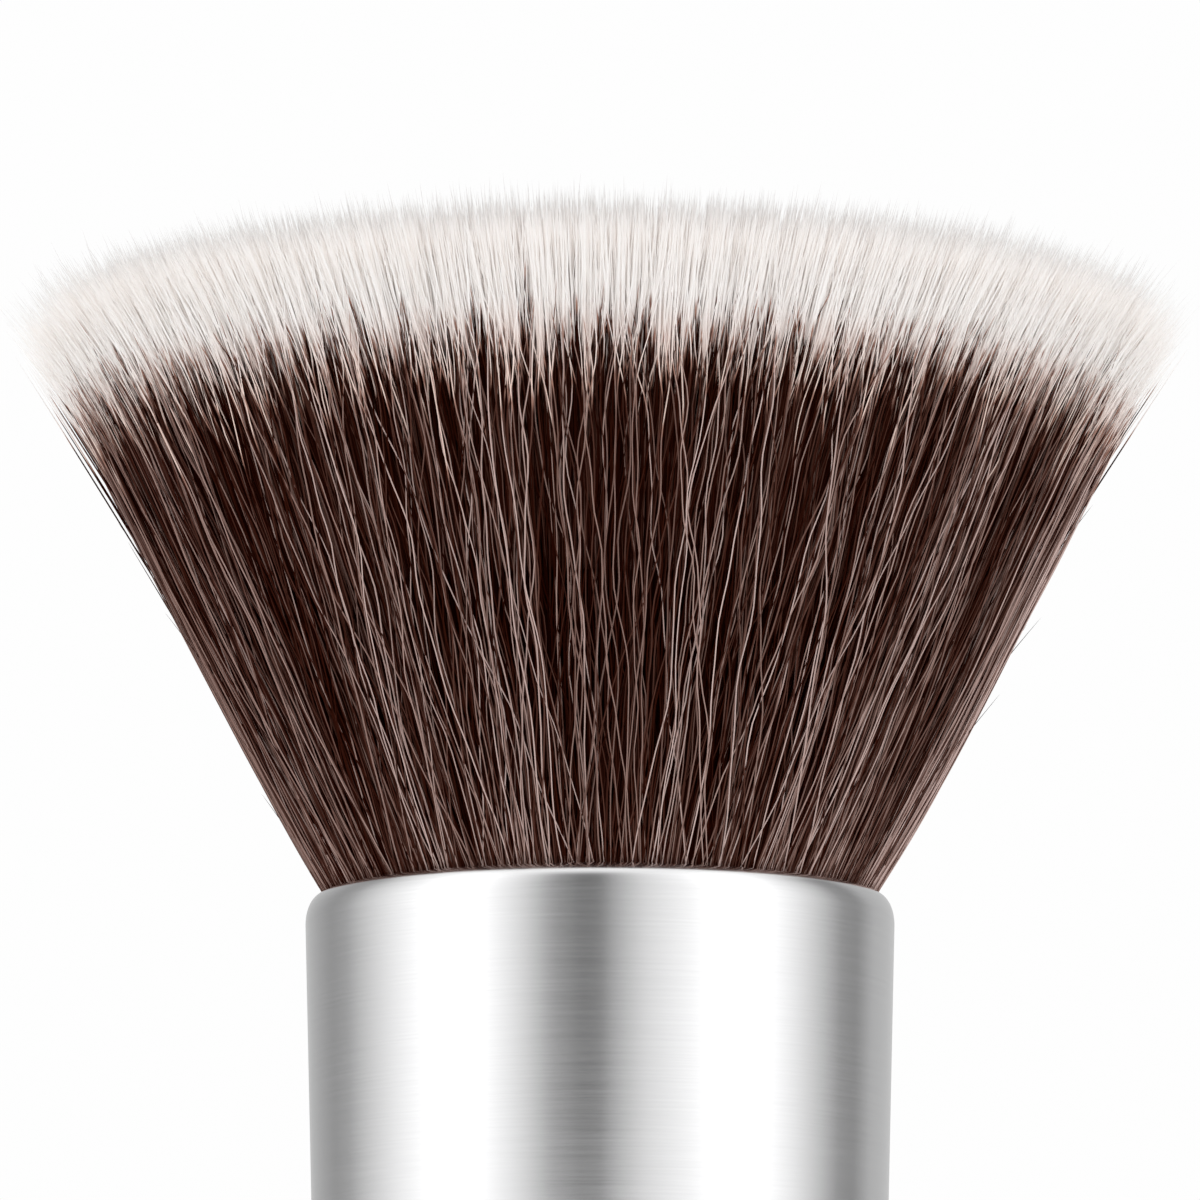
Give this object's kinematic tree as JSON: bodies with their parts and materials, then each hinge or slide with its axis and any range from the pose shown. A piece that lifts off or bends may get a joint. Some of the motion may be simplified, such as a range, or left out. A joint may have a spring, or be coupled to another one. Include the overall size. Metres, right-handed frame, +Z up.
{
  "type": "foundation brush",
  "caption": "Flat-top kabuki foundation brush: a dense flared tuft with dipped tips, a wide metal ferrule, and a short waisted handle that stands on its foot.",
  "frame": {"origin": "centre of the foot's flat underside, on the surface that the brush stands on", "axes": "+Z up along the brush's axis, from the foot to the tips; the brush is round, so X and Y are free, and the picture looks along +Y"},
  "size_m": [0.0417, 0.0417, 0.0914],
  "materials": {
    "filament": "fine brown synthetic filaments with off-white dipped tips",
    "cast_resin": "set amber epoxy",
    "waxed_thread": "waxed, matt",
    "ferrule_metal": "fine brushing round the tube, clear anodised",
    "adhesive": "set adhesive",
    "handle_wood": "dark stain under satin lacquer",
    "weight_steel": "plain turned",
    "foot_metal": "fine turned, clear anodised"
  },
  "bodies": {
    "root": {"bristle_tuft": "filament", "root_block": "cast_resin", "tie_thread": "waxed_thread", "ferrule": "ferrule_metal", "glue_ring": "adhesive", "handle": "handle_wood", "balance_weight": "weight_steel", "base_cap": "foot_metal"}
  },
  "joints": []
}
